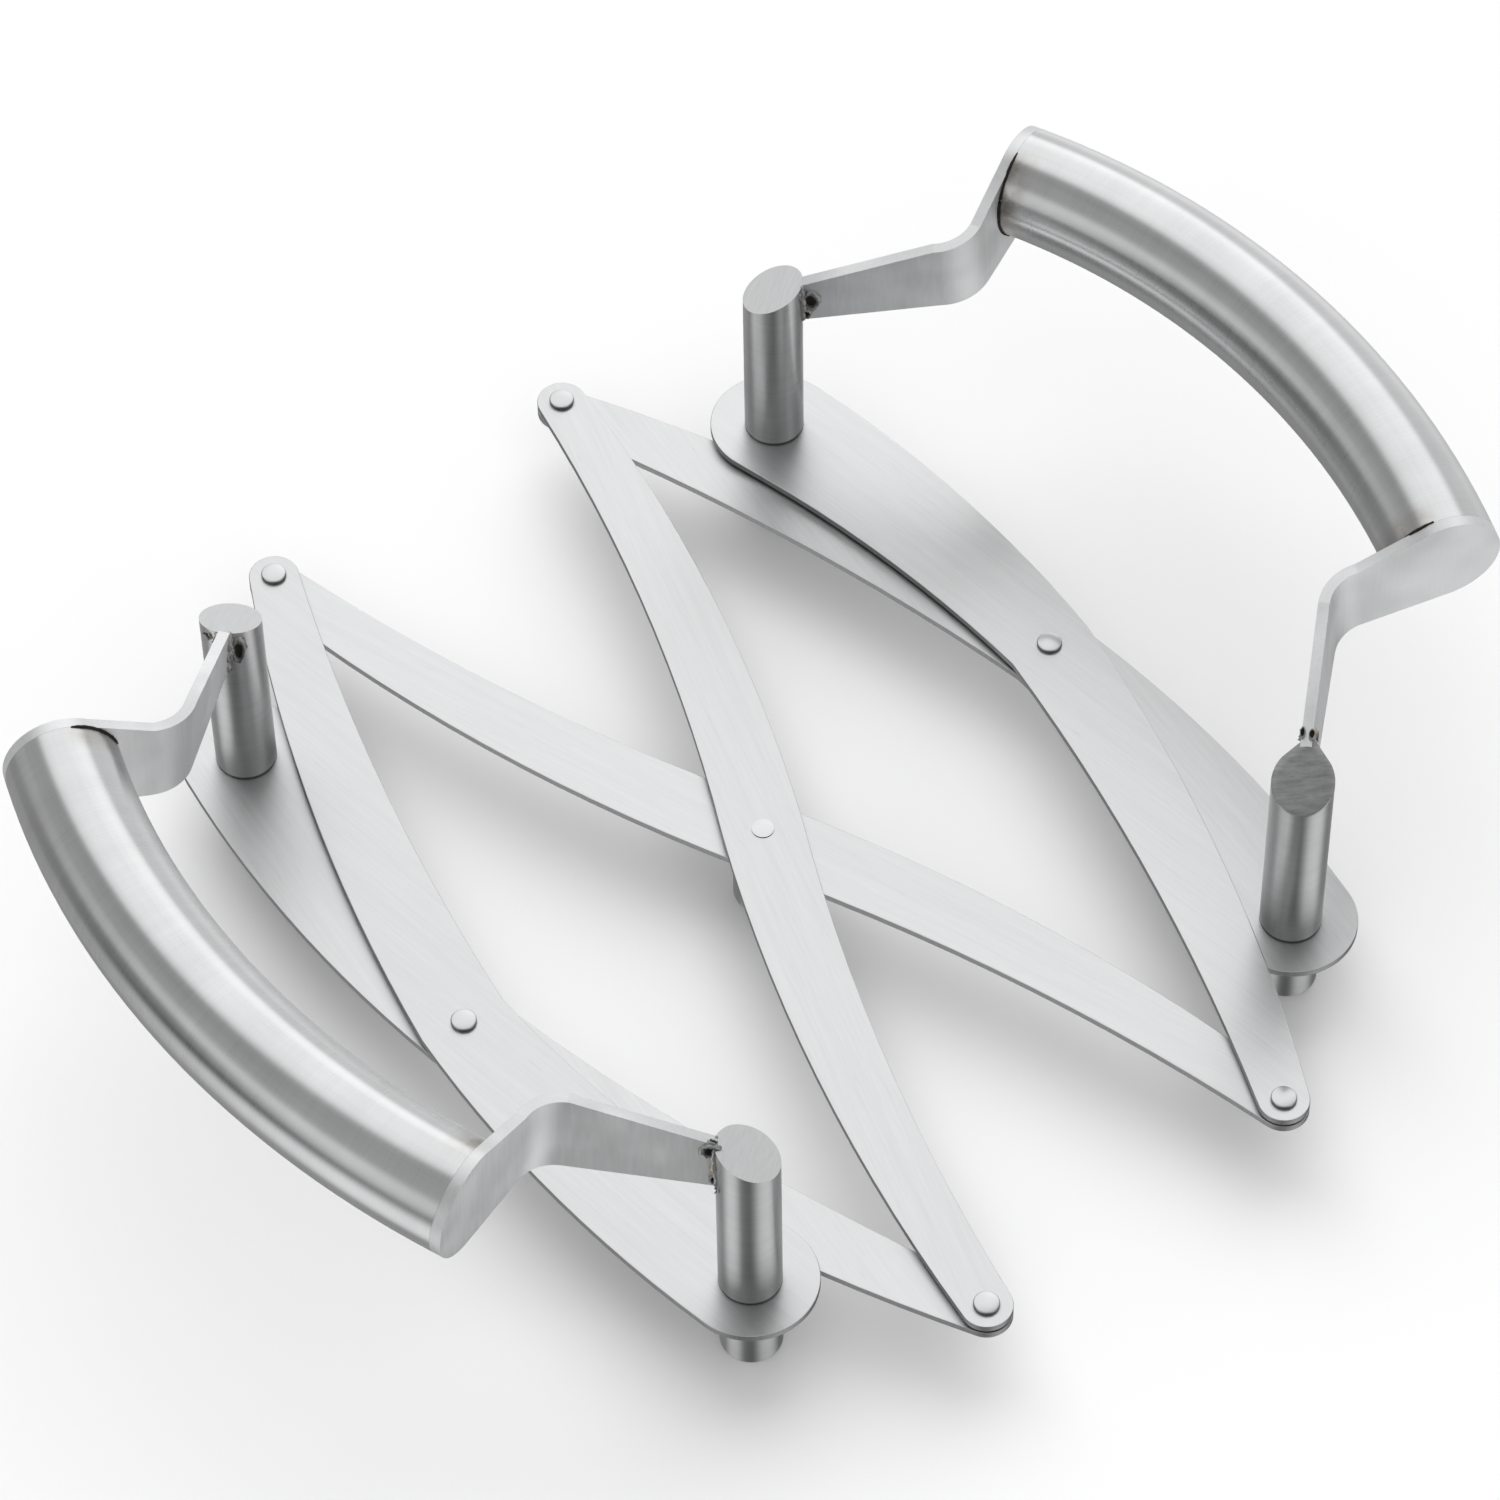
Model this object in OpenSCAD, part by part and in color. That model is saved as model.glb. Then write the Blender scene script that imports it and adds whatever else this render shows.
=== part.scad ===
// Adjustable lattice trivet and pot carrier in satin stainless steel.
// Six flat arms riveted in two layers, four posts on round feet, two tube grips.

/* [Lattice] */
// Distance between neighbouring rivets along every arm
arm_pitch = 117; // [90:0.1:140]
// Slope of the centre arms against the long axis
lattice_angle = 71.9; // [60:0.5:75]
// Post distance from the long axis
post_y = 79.3; // [60:0.1:90]
// Post distance from the cross axis
post_x = 66.4; // [55:0.1:80]

/* [Arms] */
// Thickness of the flat arms
arm_t = 1.5; // [1:0.1:3]
// Free height between the two arm layers
layer_gap = 0.6; // [0.4:0.1:2]
// Height of the lower arm layer above the table
lattice_z = 17; // [8:0.5:25]
// Radius of the narrow arm tips
tip_r = 5; // [4:0.1:8]
// Half width of the centre arms at the middle rivet
centre_r = 8; // [6:0.1:12]
// Half width of the end arms at the elbow rivet
elbow_r = 8.9; // [6:0.1:12]
// Radius of the blade round the post
blade_r = 13; // [9:0.1:18]
// Outer edge radius of the centre arms
centre_out_r = 385; // [250:5:900]
// Inner edge radius of the centre arms
centre_in_r = 440; // [250:5:900]
// Outer edge radius of the end arms
end_out_r = 405; // [250:5:900]
// Inner edge radius of the end arms
end_in_r = 500; // [250:5:900]
// Outer edge radius of the blades
blade_out_r = 272; // [180:1:600]
// Inner edge radius of the blades
blade_in_r = 281; // [180:1:600]

/* [Rivets] */
// Rivet shank diameter
shank_d = 3.2; // [2:0.1:5]
// Rivet head diameter
head_d = 5; // [4:0.1:8]
// Height of the straight wall of a rivet head
head_wall = 0.75; // [0.2:0.05:1.5]
// Height of the shallow crown on a rivet head
head_h = 0.35; // [0.2:0.05:1]
// Diameter of the collar that keeps the layers apart
collar_d = 8; // [6:0.1:10]
// Centre pin head diameter
pin_head_d = 4.4; // [4:0.1:8]
// Height of the straight wall of the centre pin head
pin_wall = 0.15; // [0.1:0.05:1]
// Height of the shallow crown on the centre pin head
pin_head_h = 0.2; // [0.1:0.05:1]
// Radial running clearance in the arm holes
run_gap = 0.05; // [0.02:0.01:0.1]
// Axial play beside every moving arm
axial_gap = 0.03; // [0.01:0.01:0.1]
// Extra radius of the loose post holes
loose_gap = 0.6; // [0.5:0.05:1]

/* [Posts] */
// Post and foot diameter
post_d = 12; // [8:0.5:16]
// Height of the post top at its axis
post_top_z = 61.25; // [40:0.25:80]
// Slope of the cut post top
post_slant = 26; // [0:1:35]
// Diameter of the neck through the arm
neck_d = 8; // [5:0.5:9]
// Depth of the neck inside the foot
neck_depth = 8; // [4:0.5:12]
// Edge rounding under the feet
foot_round = 1.2; // [0.5:0.1:3]

/* [Grips] */
// Grip tube outside diameter
grip_d = 22; // [16:0.5:30]
// Grip tube wall
grip_wall = 1.5; // [1:0.1:3]
// Bend radius of the tube axis
grip_bend_r = 169; // [100:0.1:300]
// Half of the angle the tube covers
grip_half_angle = 21.3; // [12:0.1:35]
// Distance of the tube axis from the middle at its furthest point
grip_x = 127.8; // [100:0.1:160]
// Height of the tube axis at its furthest point
grip_z = 75.3; // [55:0.1:100]
// Upward tilt of the whole grip
grip_tilt = 8.7; // [0:0.1:25]

/* [Brackets] */
// Thickness of the flat bracket strip
strip_t = 2.2; // [1.5:0.1:4]
// Bend radius at the middle of the strip thickness
strip_bend_r = 9; // [4:0.5:15]
// Distance of the bend corner inboard of the tube crown
corner_in = 33.3; // [25:0.1:45]
// Strip top edge at the bend above the grip plane
corner_top = 6.2; // [3:0.1:11]
// Strip lower edge at the bend below the grip plane
corner_low = 11.4; // [8:0.1:14]
// Strip top edge at the post below the grip plane
post_edge_top = 4; // [0:0.1:8]
// Strip lower edge at the post below the grip plane
post_edge_low = 13.8; // [9:0.1:16]
// Strip centre line at the post inboard of the tube crown
post_in = 63.2; // [50:0.1:75]

/* [Hidden] */
$fn = 96;
rivet_x = 2 * arm_pitch * cos(lattice_angle);
rivet_y = arm_pitch * sin(lattice_angle);
half_x = rivet_x / 2;
low_top = lattice_z + arm_t;
up_bot = low_top + layer_gap;
up_top = up_bot + arm_t;
over = 2;
cutter = 60;
rim = 1.06;
lap = 1;
even = 0.4;
trim = 2;
inset = 0.02;
wide = 16;
bend_steps = 12;
tube_r = grip_d / 2;
post_r = post_d / 2;
end_x = grip_bend_r * cos(grip_half_angle) - grip_bend_r;
end_y = grip_bend_r * sin(grip_half_angle);
mid_x = end_x - sin(grip_half_angle) * strip_t / 2;
mid_y = end_y + cos(grip_half_angle) * strip_t / 2;
cap_len = (corner_in + mid_x) / cos(grip_half_angle);
bend_x = mid_x - cap_len * cos(grip_half_angle);
bend_y = mid_y - cap_len * sin(grip_half_angle);
leg_x = bend_x + post_in;
leg_y = post_y - bend_y;
leg_len = sqrt(leg_x * leg_x + leg_y * leg_y);
leg_angle = atan2(leg_y, -leg_x);
turn = 180 - (leg_angle - grip_half_angle);
tangent_len = strip_bend_r * tan(turn / 2);
bend_out_r = strip_bend_r + strip_t / 2;
bend_in_r = strip_bend_r - strip_t / 2;
slant_turn = -atan2(leg_y, leg_x * cos(grip_tilt));
far_r = sqrt(cap_len * cap_len + corner_top * corner_top);
low_r = sqrt(cap_len * cap_len + corner_low * corner_low);
touch_top = atan2(corner_top, cap_len) + acos(tube_r / far_r);
touch_low = atan2(corner_low, cap_len) + acos(tube_r / low_r);

function arc_x(a, b, d) = (a * a - b * b + d * d) / (2 * d);
function arc_y(a, b, d) = -sqrt(a * a - arc_x(a, b, d) * arc_x(a, b, d));

// Bowed part of an arm between a round end at the origin and one at distance d on X.
module bowed(d, r1, r2, out_r, in_r) {
    ox = arc_x(out_r - r1, out_r - r2, d);
    oy = arc_y(out_r - r1, out_r - r2, d);
    ix = arc_x(in_r + r1, in_r + r2, d);
    iy = arc_y(in_r + r1, in_r + r2, d);
    k1 = rim * out_r / (out_r - r1);
    k2 = rim * out_r / (out_r - r2);
    s1 = (r1 + over) / (in_r + r1);
    s2 = (r2 + over) / (in_r + r2);
    intersection() {
        translate([ox, oy])
            circle(r = out_r);
        polygon([
            [0, 0],
            [ox - ox * k1, oy - oy * k1],
            [ox + (d - ox) * k2, oy - oy * k2],
            [d, 0]
        ]);
    }
    difference() {
        polygon([
            [0, 0],
            [ix * s1, iy * s1],
            [d + (ix - d) * s2, iy * s2],
            [d, 0]
        ]);
        translate([ix, iy])
            circle(r = in_r);
    }
}

// One limb from point a to point b, bowed to the left of its direction.
module limb(ax, ay, r1, bx, by, r2, out_r, in_r) {
    dx = bx - ax;
    dy = by - ay;
    translate([ax, ay])
        rotate([0, 0, atan2(dy, dx)])
            bowed(sqrt(dx * dx + dy * dy), r1, r2, out_r, in_r);
    translate([ax, ay])
        circle(r = r1);
    translate([bx, by])
        circle(r = r2);
}

// Outline of the centre arm that runs from front left to back right.
module centre_outline() {
    limb(-half_x, -rivet_y, tip_r, 0, 0, centre_r, centre_out_r, centre_in_r);
    rotate([0, 0, 180])
        limb(-half_x, -rivet_y, tip_r, 0, 0, centre_r, centre_out_r, centre_in_r);
}

// Outline of the end arm from back left over the left elbow to the front left post.
module end_outline() {
    limb(-rivet_x, 0, elbow_r, -half_x, rivet_y, tip_r, end_out_r, end_in_r);
    limb(-post_x, -post_y, blade_r, -rivet_x, 0, elbow_r, blade_out_r, blade_in_r);
}

// Centre arm plate: holes at both tips and at the middle.
module centre_plate(front_play, back_play, mid_play) {
    linear_extrude(height = arm_t)
        difference() {
            centre_outline();
            translate([-half_x, -rivet_y])
                circle(d = shank_d + 2 * front_play);
            translate([half_x, rivet_y])
                circle(d = shank_d + 2 * back_play);
            circle(d = shank_d + 2 * mid_play);
        }
}

// End arm plate: holes at the tip, the elbow and the post.
module end_plate(tip_play, elbow_play, post_play) {
    linear_extrude(height = arm_t)
        difference() {
            end_outline();
            translate([-half_x, rivet_y])
                circle(d = shank_d + 2 * tip_play);
            translate([-rivet_x, 0])
                circle(d = shank_d + 2 * elbow_play);
            translate([-post_x, -post_y])
                circle(d = neck_d + 2 * post_play);
        }
}

// Head on the plane z = 0: straight wall with a shallow crown of height h on top.
module dome(d, wall, h) {
    cap_r = (d * d / 4 + h * h) / (2 * h);
    intersection() {
        translate([0, 0, wall + h - cap_r])
            sphere(r = cap_r);
        cylinder(d = d, h = wall + h + over);
    }
}

// Shouldered rivet through both layers with a domed head above and below.
module rivet(x, y) {
    translate([x, y, 0]) {
        translate([0, 0, lattice_z - axial_gap])
            cylinder(d = shank_d, h = up_top - lattice_z + 2 * axial_gap);
        translate([0, 0, low_top + axial_gap])
            cylinder(d = collar_d, h = layer_gap - 2 * axial_gap);
        translate([0, 0, up_top + axial_gap])
            dome(head_d, head_wall, head_h);
        translate([0, 0, lattice_z - axial_gap])
            mirror([0, 0, 1])
                dome(head_d, head_wall, head_h);
    }
}

// Round foot with a blind bore for the neck, standing on the table.
module foot(x, y, top_z, bore_d) {
    translate([x, y, 0])
        difference() {
            rotate_extrude() {
                translate([0, foot_round])
                    square([post_r, top_z - axial_gap - foot_round]);
                square([post_r - foot_round, foot_round + over]);
                translate([post_r - foot_round, foot_round])
                    circle(r = foot_round);
            }
            translate([0, 0, top_z - axial_gap - neck_depth])
                cylinder(d = bore_d, h = neck_depth + over);
        }
}

// Right-hand post with its neck; side is 1 at the back and -1 at the front.
module post(side, low_z, base_z) {
    translate([post_x, side * post_y, 0]) {
        difference() {
            translate([0, 0, base_z + axial_gap])
                cylinder(d = post_d, h = post_top_z + cutter / 2 - base_z);
            translate([0, 0, post_top_z])
                rotate([0, 0, side * slant_turn])
                    rotate([0, -post_slant, 0])
                        translate([-cutter / 2, -cutter / 2, 0])
                            cube([cutter, cutter, cutter]);
        }
        translate([0, 0, low_z - axial_gap - neck_depth])
            cylinder(d = neck_d, h = neck_depth + arm_t + over + 2 * axial_gap);
    }
}

// Flat outline of the bracket end that closes the tube, drawn in the strip plane.
module cap_outline() {
    circle(r = tube_r);
    polygon([
        [0, 0],
        [-(tube_r - inset) * cos(touch_top), (tube_r - inset) * sin(touch_top)],
        [tangent_len + even - cap_len, corner_top],
        [tangent_len - lap - cap_len, corner_top],
        [tangent_len - lap - cap_len, -corner_low],
        [tangent_len + even - cap_len, -corner_low],
        [-(tube_r - inset) * cos(touch_low), -(tube_r - inset) * sin(touch_low)]
    ]);
}

// Flat outline of the bracket leg, from the bend down to the post.
module leg_outline() {
    polygon([
        [tangent_len - lap, corner_top],
        [tangent_len + even, corner_top],
        [leg_len, -post_edge_top],
        [leg_len, -post_edge_low],
        [tangent_len + even, -corner_low],
        [tangent_len - lap, -corner_low]
    ]);
}

// Point on the bend at radius r, step i.
function bend_x_at(r, i) = tangent_len + r * cos(-90 - turn * i / bend_steps);
function bend_y_at(r, i) = strip_bend_r + r * sin(-90 - turn * i / bend_steps);

// The strip seen along its width: cap part on X, bend, then the leg to the post.
module strip_plan() {
    polygon(concat(
        [[cap_len + tube_r + over, -strip_t / 2]],
        [for (i = [0 : bend_steps]) [bend_x_at(bend_out_r, i), bend_y_at(bend_out_r, i)]],
        [[-leg_len * cos(turn) - strip_t / 2 * sin(turn), leg_len * sin(turn) - strip_t / 2 * cos(turn)]],
        [[-leg_len * cos(turn) + strip_t / 2 * sin(turn), leg_len * sin(turn) + strip_t / 2 * cos(turn)]],
        [for (i = [0 : bend_steps]) [
            bend_x_at(bend_in_r, bend_steps - i),
            bend_y_at(bend_in_r, bend_steps - i)
        ]],
        [[cap_len + tube_r + over, strip_t / 2]]
    ));
}

// Space the strip may fill, seen from the side: round cap, even bend and tapered leg.
module strip_sides() {
    translate([cap_len, wide / 2, 0])
        rotate([90, 0, 0])
            linear_extrude(height = wide)
                cap_outline();
    translate([tangent_len, strip_bend_r, -corner_low])
        linear_extrude(height = corner_low + corner_top)
            polygon([
                [0, 0],
                [-2 * wide * sin(trim), -2 * wide * cos(trim)],
                [-2 * wide * tan(turn / 2), -2 * wide],
                [-2 * wide * sin(turn - trim), -2 * wide * cos(turn - trim)]
            ]);
    rotate([0, 0, 180 - turn])
        translate([0, wide / 2, 0])
            rotate([90, 0, 0])
                linear_extrude(height = wide)
                    leg_outline();
}

// Back right bracket strip before it is fitted to the post, in the grip plane.
module strip() {
    translate([bend_x, bend_y, 0])
        rotate([0, 0, grip_half_angle])
            intersection() {
                translate([0, 0, -wide])
                    linear_extrude(height = 2 * wide)
                        strip_plan();
                strip_sides();
            }
}

// Right-hand bracket welded to the side of its post.
module bracket(side) {
    difference() {
        translate([grip_x, 0, grip_z])
            rotate([0, -grip_tilt, 0])
                mirror([0, side < 0 ? 1 : 0, 0])
                    strip();
        translate([post_x, side * post_y, up_top])
            cylinder(d = post_d, h = grip_z);
    }
}

// Right-hand grip tube bent in the tilted grip plane.
module grip() {
    translate([grip_x, 0, grip_z])
        rotate([0, -grip_tilt, 0])
            translate([-grip_bend_r, 0, 0])
                rotate([0, 0, -grip_half_angle])
                    rotate_extrude(angle = 2 * grip_half_angle)
                        translate([grip_bend_r, 0])
                            difference() {
                                circle(r = tube_r);
                                circle(r = tube_r - grip_wall);
                            }
}

module centre_arm_upper() {
    color([0.86, 0.87, 0.88])
        translate([0, 0, up_bot])
            centre_plate(0, 0, 0);
}

module centre_arm_lower() {
    color([0.84, 0.85, 0.86])
        translate([0, 0, lattice_z])
            mirror([1, 0, 0])
                centre_plate(0, 0, run_gap);
}

module end_arm_left_upper() {
    color([0.85, 0.86, 0.87])
        translate([0, 0, up_bot])
            end_plate(run_gap, 0, run_gap);
}

module end_arm_left_lower() {
    color([0.83, 0.84, 0.85])
        translate([0, 0, lattice_z])
            mirror([0, 1, 0])
                end_plate(run_gap, run_gap, loose_gap);
}

module end_arm_right_upper() {
    color([0.85, 0.86, 0.87])
        translate([0, 0, up_bot])
            rotate([0, 0, 180])
                end_plate(run_gap, 0, run_gap);
}

module end_arm_right_lower() {
    color([0.83, 0.84, 0.85])
        translate([0, 0, lattice_z])
            rotate([0, 0, 180])
                mirror([0, 1, 0])
                    end_plate(run_gap, run_gap, loose_gap);
}

module rivet_back_left() {
    color([0.75, 0.76, 0.78])
        rivet(-half_x, rivet_y);
}

module rivet_back_right() {
    color([0.75, 0.76, 0.78])
        rivet(half_x, rivet_y);
}

module rivet_front_left() {
    color([0.75, 0.76, 0.78])
        rivet(-half_x, -rivet_y);
}

module rivet_front_right() {
    color([0.75, 0.76, 0.78])
        rivet(half_x, -rivet_y);
}

module rivet_elbow_left() {
    color([0.75, 0.76, 0.78])
        rivet(-rivet_x, 0);
}

module rivet_elbow_right() {
    color([0.75, 0.76, 0.78])
        rivet(rivet_x, 0);
}

module centre_pin() {
    color([0.78, 0.79, 0.8]) {
        translate([0, 0, lattice_z - axial_gap - neck_depth])
            cylinder(d = shank_d, h = up_top - lattice_z + neck_depth + 2 * axial_gap);
        translate([0, 0, low_top + axial_gap])
            cylinder(d = collar_d, h = layer_gap - 2 * axial_gap);
        translate([0, 0, up_top + axial_gap])
            dome(pin_head_d, pin_wall, pin_head_h);
    }
}

module centre_foot() {
    color([0.7, 0.71, 0.73])
        foot(0, 0, lattice_z, shank_d);
}

module post_left_back() {
    color([0.72, 0.73, 0.75])
        rotate([0, 0, 180])
            post(-1, lattice_z, low_top);
}

module post_left_front() {
    color([0.72, 0.73, 0.75])
        rotate([0, 0, 180])
            post(1, up_bot, up_top);
}

module post_right_back() {
    color([0.72, 0.73, 0.75])
        post(1, up_bot, up_top);
}

module post_right_front() {
    color([0.72, 0.73, 0.75])
        post(-1, lattice_z, low_top);
}

module foot_left_back() {
    color([0.68, 0.69, 0.71])
        foot(-post_x, post_y, lattice_z, neck_d);
}

module foot_left_front() {
    color([0.68, 0.69, 0.71])
        foot(-post_x, -post_y, up_bot, neck_d);
}

module foot_right_back() {
    color([0.68, 0.69, 0.71])
        foot(post_x, post_y, up_bot, neck_d);
}

module foot_right_front() {
    color([0.68, 0.69, 0.71])
        foot(post_x, -post_y, lattice_z, neck_d);
}

module bracket_left_back() {
    color([0.76, 0.77, 0.79])
        rotate([0, 0, 180])
            bracket(-1);
}

module bracket_left_front() {
    color([0.76, 0.77, 0.79])
        rotate([0, 0, 180])
            bracket(1);
}

module bracket_right_back() {
    color([0.76, 0.77, 0.79])
        bracket(1);
}

module bracket_right_front() {
    color([0.76, 0.77, 0.79])
        bracket(-1);
}

module grip_left() {
    color([0.8, 0.81, 0.82])
        rotate([0, 0, 180])
            grip();
}

module grip_right() {
    color([0.8, 0.81, 0.82])
        grip();
}

centre_arm_upper();
centre_arm_lower();
end_arm_left_upper();
end_arm_left_lower();
end_arm_right_upper();
end_arm_right_lower();
rivet_back_left();
rivet_back_right();
rivet_front_left();
rivet_front_right();
rivet_elbow_left();
rivet_elbow_right();
centre_pin();
centre_foot();
post_left_back();
post_left_front();
post_right_back();
post_right_front();
foot_left_back();
foot_left_front();
foot_right_back();
foot_right_front();
bracket_left_back();
bracket_left_front();
bracket_right_back();
bracket_right_front();
grip_left();
grip_right();
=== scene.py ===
import bmesh
import bpy
import math
from mathutils import Matrix, Vector, noise


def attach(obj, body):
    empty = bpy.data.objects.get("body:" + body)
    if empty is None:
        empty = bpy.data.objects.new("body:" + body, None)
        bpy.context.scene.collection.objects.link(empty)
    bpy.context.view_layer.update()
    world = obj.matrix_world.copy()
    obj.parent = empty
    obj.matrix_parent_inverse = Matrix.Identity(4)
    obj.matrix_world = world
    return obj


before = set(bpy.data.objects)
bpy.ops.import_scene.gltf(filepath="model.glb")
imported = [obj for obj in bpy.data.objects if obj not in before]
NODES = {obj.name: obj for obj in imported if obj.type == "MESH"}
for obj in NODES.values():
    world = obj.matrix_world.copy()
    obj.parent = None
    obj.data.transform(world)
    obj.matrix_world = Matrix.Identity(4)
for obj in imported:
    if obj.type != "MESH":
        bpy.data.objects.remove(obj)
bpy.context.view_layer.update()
scene = bpy.context.scene

# ---------------------------------------------------------------- camera
SENSOR = 36.0
FOCAL = 156.98
CAM_AZ = math.radians(-37.79)
CAM_EL = math.radians(52.39)
CAM_ROLL = math.radians(-1.01)
CAM_DIST = 1.285
CAM_TARGET = Vector((0.01178, 0.01883, 0.017))


def make_camera():
    """Camera on the photo's side of the object, aimed at CAM_TARGET and rolled a little."""
    back = Vector((math.sin(CAM_AZ) * math.cos(CAM_EL),
                   -math.cos(CAM_AZ) * math.cos(CAM_EL),
                   math.sin(CAM_EL)))
    right = (-back).cross(Vector((0, 0, 1))).normalized()
    up = right.cross(-back).normalized()
    c, s = math.cos(CAM_ROLL), math.sin(CAM_ROLL)
    right, up = right * c + up * s, up * c - right * s
    data = bpy.data.cameras.new("camera")
    data.sensor_width = SENSOR
    data.lens = FOCAL
    data.clip_start = 0.05
    data.clip_end = 60
    cam = bpy.data.objects.new("camera", data)
    scene.collection.objects.link(cam)
    m = Matrix((right, up, back)).transposed().to_4x4()
    m.translation = CAM_TARGET + back * CAM_DIST
    cam.matrix_world = m
    scene.camera = cam


# ---------------------------------------------------------------- node helper
class Tree:
    """Short way to wire a node tree."""

    def __init__(self, tree):
        self.t = tree
        tree.nodes.clear()

    def node(self, kind, **props):
        n = self.t.nodes.new(kind)
        for k, v in props.items():
            setattr(n, k, v)
        return n

    def put(self, socket, value):
        """Links a socket to another node's output, or sets it to a number or vector."""
        if hasattr(value, "is_output"):
            self.t.links.new(value, socket)
        else:
            socket.default_value = value

    def math(self, op, *args):
        n = self.node("ShaderNodeMath", operation=op)
        for i, a in enumerate(args):
            self.put(n.inputs[i], a)
        return n.outputs[0]

    def times(self, a, b):
        return self.math("MULTIPLY", a, b)

    def weigh(self, base, *parts):
        """The base plus each value times its weight."""
        total = base
        for value, weight in parts:
            total = self.math("ADD", total, self.times(value, weight))
        return total

    def vec(self, op, *args):
        """Vector maths; gives a number for DOT_PRODUCT and a vector for anything else."""
        n = self.node("ShaderNodeVectorMath", operation=op)
        for i, a in enumerate(args):
            self.put(n.inputs[i], a)
        return n.outputs["Value"] if op == "DOT_PRODUCT" else n.outputs[0]

    def ramp(self, value, lo, hi, out_lo=0.0, out_hi=1.0):
        """Smooth step from out_lo where value is lo to out_hi where it is hi."""
        n = self.node("ShaderNodeMapRange", interpolation_type="SMOOTHSTEP")
        self.put(n.inputs["Value"], value)
        self.put(n.inputs["From Min"], lo)
        self.put(n.inputs["From Max"], hi)
        self.put(n.inputs["To Min"], out_lo)
        self.put(n.inputs["To Max"], out_hi)
        return n.outputs[0]

    def noise(self, vector, scale, detail, rough):
        """Even noise, scale waves to the metre."""
        n = self.node("ShaderNodeTexNoise")
        self.put(n.inputs["Vector"], vector)
        n.inputs["Scale"].default_value = scale
        n.inputs["Detail"].default_value = detail
        n.inputs["Roughness"].default_value = rough
        return n.outputs["Fac"]

    def grain(self, vector, waves, detail, rough):
        """Drawn-out noise, with its own number of waves to the metre on each axis."""
        return self.noise(self.vec("MULTIPLY", vector, waves), 1.0, detail, rough)

    def coords(self, kind):
        return self.node("ShaderNodeTexCoord").outputs[kind]

    def flatness(self):
        """1 where the surface lies flat, facing up or down, and 0 where it stands upright."""
        return self.math("ABSOLUTE", self.split(self.coords("Normal"))[2])

    def split(self, vector):
        n = self.node("ShaderNodeSeparateXYZ")
        self.put(n.inputs[0], vector)
        return n.outputs

    def join(self, x, y, z):
        n = self.node("ShaderNodeCombineXYZ")
        for i, a in enumerate((x, y, z)):
            self.put(n.inputs[i], a)
        return n.outputs[0]

    def turned(self, vector, location, rotation):
        """Coordinates in a frame placed at location and turned by rotation."""
        n = self.node("ShaderNodeMapping", vector_type="TEXTURE")
        self.put(n.inputs["Vector"], vector)
        n.inputs["Location"].default_value = location
        n.inputs["Rotation"].default_value = rotation
        return n.outputs[0]

    def in_world(self, direction):
        """Turns a direction of the object into the world's."""
        n = self.node("ShaderNodeVectorTransform", vector_type="VECTOR",
                      convert_from="OBJECT", convert_to="WORLD")
        self.put(n.inputs[0], direction)
        return n.outputs[0]

    def mix(self, fac, a, b):
        n = self.node("ShaderNodeMix", data_type="FLOAT")
        self.put(n.inputs[0], fac)
        self.put(n.inputs[2], a)
        self.put(n.inputs[3], b)
        return n.outputs[0]

    def grey(self, level):
        n = self.node("ShaderNodeCombineColor")
        for i in range(3):
            self.put(n.inputs[i], level)
        return n.outputs[0]


# for red, green and blue: share of the tone, and what full heat tint adds to that share
TINT = ((0.992, 0.10), (1.0, 0.02), (1.008, -0.12))


def finish_steel(t, tone, rough, height, depth, aniso=0.0, tangent=None, warm=0.0):
    """Metal from a tone, a roughness, a relief of the given depth in metres and a heat tint."""
    colour = t.node("ShaderNodeCombineColor")
    for i, (share, heat) in enumerate(TINT):
        t.put(colour.inputs[i], t.times(tone, t.weigh(share, (warm, heat))))
    bump = t.node("ShaderNodeBump")
    bump.inputs["Strength"].default_value = 1.0
    bump.inputs["Distance"].default_value = depth
    t.put(bump.inputs["Height"], height)
    p = t.node("ShaderNodeBsdfPrincipled")
    t.put(p.inputs["Base Color"], colour.outputs[0])
    p.inputs["Metallic"].default_value = 1.0
    t.put(p.inputs["Roughness"], rough)
    p.inputs["Anisotropic"].default_value = aniso
    t.put(p.inputs["Normal"], bump.outputs[0])
    if tangent is not None:
        t.put(p.inputs["Tangent"], tangent)
    out = t.node("ShaderNodeOutputMaterial")
    t.put(out.inputs["Surface"], p.outputs[0])


def new_material(name):
    m = bpy.data.materials.new(name)
    m.use_nodes = True
    return m, Tree(m.node_tree)


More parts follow.
